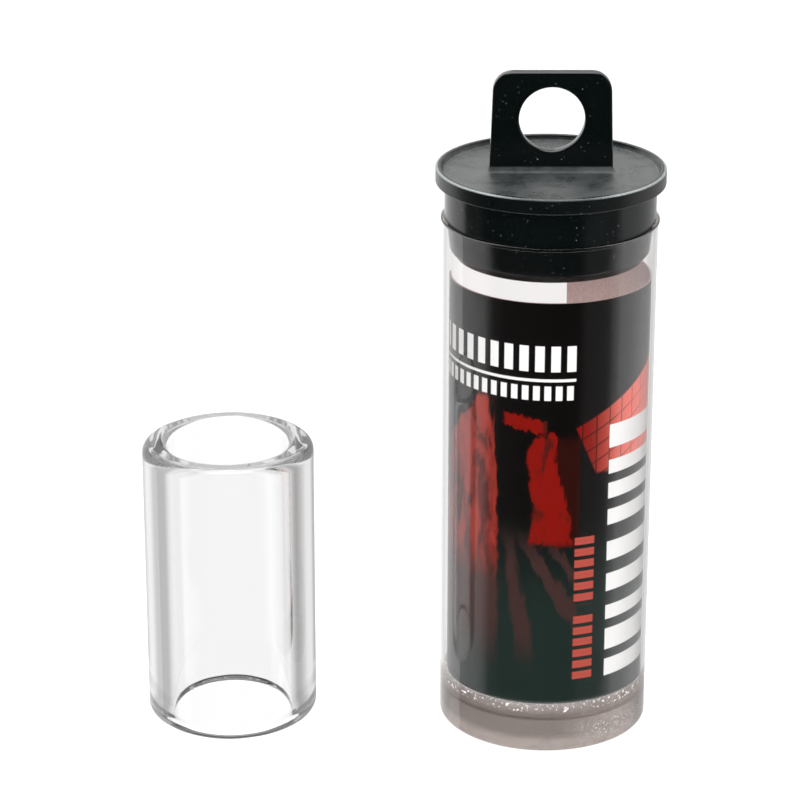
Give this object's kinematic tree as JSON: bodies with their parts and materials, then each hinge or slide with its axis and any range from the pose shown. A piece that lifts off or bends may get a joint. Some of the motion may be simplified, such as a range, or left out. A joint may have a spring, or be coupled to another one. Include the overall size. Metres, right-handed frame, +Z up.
{
  "type": "guitar slide",
  "caption": "Short heavy-walled clear glass guitar slide, beside its clear storage tube with a rolled printed card and a black stopper that has a hang tab.",
  "frame": {"origin": "bottom centre of the box round the whole set, on the surface that the slide and the tube stand on", "axes": "+Z up, along both axes of revolution; +X from the slide to the tube; -Y is the front, which the card's printed face and the hang tab's face look towards"},
  "size_m": [0.0812, 0.0352, 0.1059],
  "materials": {
    "clear_glass": "clear, fire-polished",
    "clear_plastic": "clear, glossy",
    "black_plastic": "moulded, semi-matt",
    "printed_card": "dark printed face, plain pale inner face"
  },
  "bodies": {
    "tube": {"storage_tube": "clear_plastic"},
    "slide": {"glass_slide": "clear_glass"},
    "card": {"printed_insert": "printed_card"},
    "cap": {"tube_cap": "black_plastic"}
  },
  "joints": [
    {"name": "slide_lift", "type": "slide", "parent": "tube", "child": "slide", "axis": [0, 0, 1], "range_m": [0, 0.09]},
    {"name": "insert_lift", "type": "slide", "parent": "tube", "child": "card", "axis": [0, 0, 1], "range_m": [0, 0.078]},
    {"name": "cap_pull", "type": "slide", "parent": "card", "child": "cap", "axis": [0, 0, 1], "range_m": [0, 0.03]}
  ]
}
